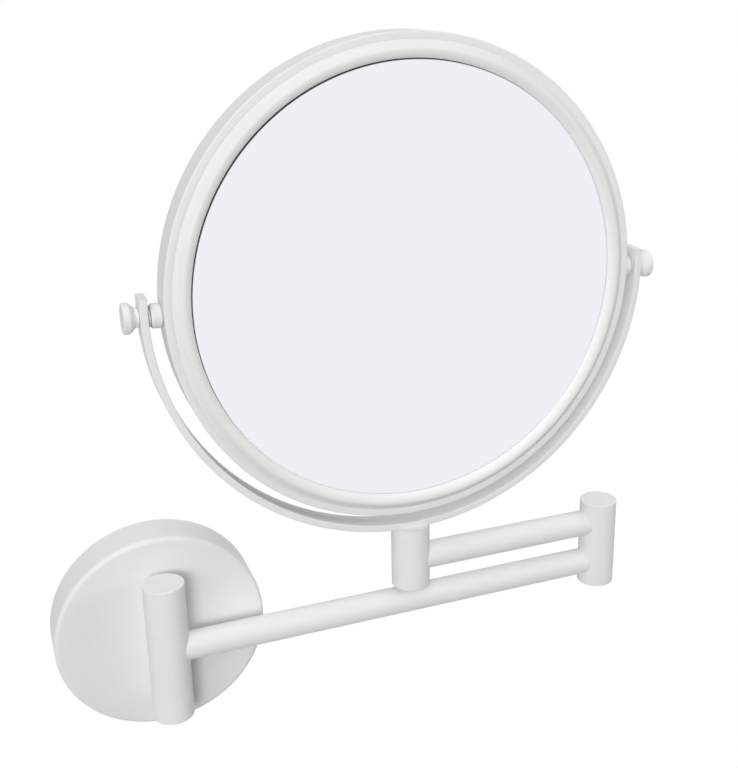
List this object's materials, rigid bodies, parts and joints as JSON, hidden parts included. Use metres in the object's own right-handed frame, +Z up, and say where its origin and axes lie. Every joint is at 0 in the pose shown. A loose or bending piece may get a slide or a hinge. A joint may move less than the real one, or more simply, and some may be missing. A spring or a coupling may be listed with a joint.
{
  "type": "extendable shaving mirror",
  "caption": "Wall-mounted round two-sided shaving mirror on a folding double arm: rosette, swinging arms, swivelling yoke and a mirror that tips right over.",
  "frame": {"origin": "centre of the wall plate's back face, on the wall, level with the lower arm's axis", "axes": "+X to the right along the wall, +Y into the wall, +Z up; the front is -Y"},
  "size_m": [0.2666, 0.0432, 0.2895],
  "materials": {
    "white_paint": "matte white powder coat",
    "steel": "plain zinc-plated steel",
    "nylon": "natural nylon",
    "foam": "dense foam rubber",
    "mirror_glass": "silvered glass"
  },
  "bodies": {
    "wall_bracket": {"wall_plate": "steel", "rosette_cover": "white_paint", "rosette_grub_screw": "steel", "wall_post_fork": "white_paint", "bracket_screw_upper": "steel", "bracket_screw_lower": "steel", "wall_pin": "steel", "wall_spring_washer": "steel", "wall_post_plug": "white_paint"},
    "lower_arm": {"wall_knuckle": "white_paint", "wall_washer_upper": "nylon", "wall_washer_lower": "nylon", "lower_arm_tube": "white_paint", "lower_arm_wall_insert": "steel", "lower_arm_wall_stud": "steel", "lower_arm_elbow_insert": "steel", "lower_arm_elbow_stud": "steel", "elbow_lower_sleeve": "white_paint", "elbow_washer": "nylon", "elbow_spring_washer": "steel", "elbow_plug": "white_paint"},
    "upper_arm": {"elbow_upper_sleeve": "white_paint", "elbow_pin": "steel", "upper_arm_tube": "white_paint", "upper_arm_elbow_insert": "steel", "upper_arm_elbow_stud": "steel", "upper_arm_centre_insert": "steel", "upper_arm_centre_stud": "steel", "centre_knuckle": "white_paint", "centre_washer": "nylon", "centre_plug": "white_paint"},
    "yoke": {"yoke_spindle": "steel", "yoke_spring_washer": "steel", "yoke_hub": "white_paint", "yoke_band": "white_paint", "yoke_rivet": "white_paint"},
    "mirror": {"mirror_rim": "white_paint", "front_bezel": "white_paint", "back_bezel": "white_paint", "plain_glass": "mirror_glass", "magnifying_glass": "mirror_glass", "glass_cushion_ring": "foam", "left_pivot_stud": "steel", "right_pivot_stud": "steel", "left_pivot_spacer": "white_paint", "right_pivot_spacer": "white_paint", "left_tilt_washer": "nylon", "right_tilt_washer": "nylon"},
    "left_knob": {"left_knob": "white_paint"},
    "right_knob": {"right_knob": "white_paint"}
  },
  "joints": [
    {"name": "wall_swing", "type": "hinge", "parent": "wall_bracket", "child": "lower_arm", "pos_m": [0, -0.033, 0], "axis": [0, 0, 1], "range_deg": [-180, 0]},
    {"name": "elbow_swing", "type": "hinge", "parent": "lower_arm", "child": "upper_arm", "pos_m": [0.2035, -0.033, 0.01], "axis": [0, 0, 1], "range_deg": [-180, 180]},
    {"name": "yoke_swivel", "type": "hinge", "parent": "upper_arm", "child": "yoke", "pos_m": [0.108, -0.033, 0.031], "axis": [0, 0, 1], "continuous": true},
    {"name": "mirror_tilt", "type": "hinge", "parent": "yoke", "child": "mirror", "pos_m": [0.108, -0.033, 0.1435], "axis": [1, 0, 0], "continuous": true},
    {"name": "left_knob_turn", "type": "hinge", "parent": "mirror", "child": "left_knob", "pos_m": [-0.003, -0.033, 0.1435], "axis": [1, 0, 0], "range_deg": [-180, 180]},
    {"name": "right_knob_turn", "type": "hinge", "parent": "mirror", "child": "right_knob", "pos_m": [0.219, -0.033, 0.1435], "axis": [1, 0, 0], "range_deg": [-180, 180]}
  ]
}
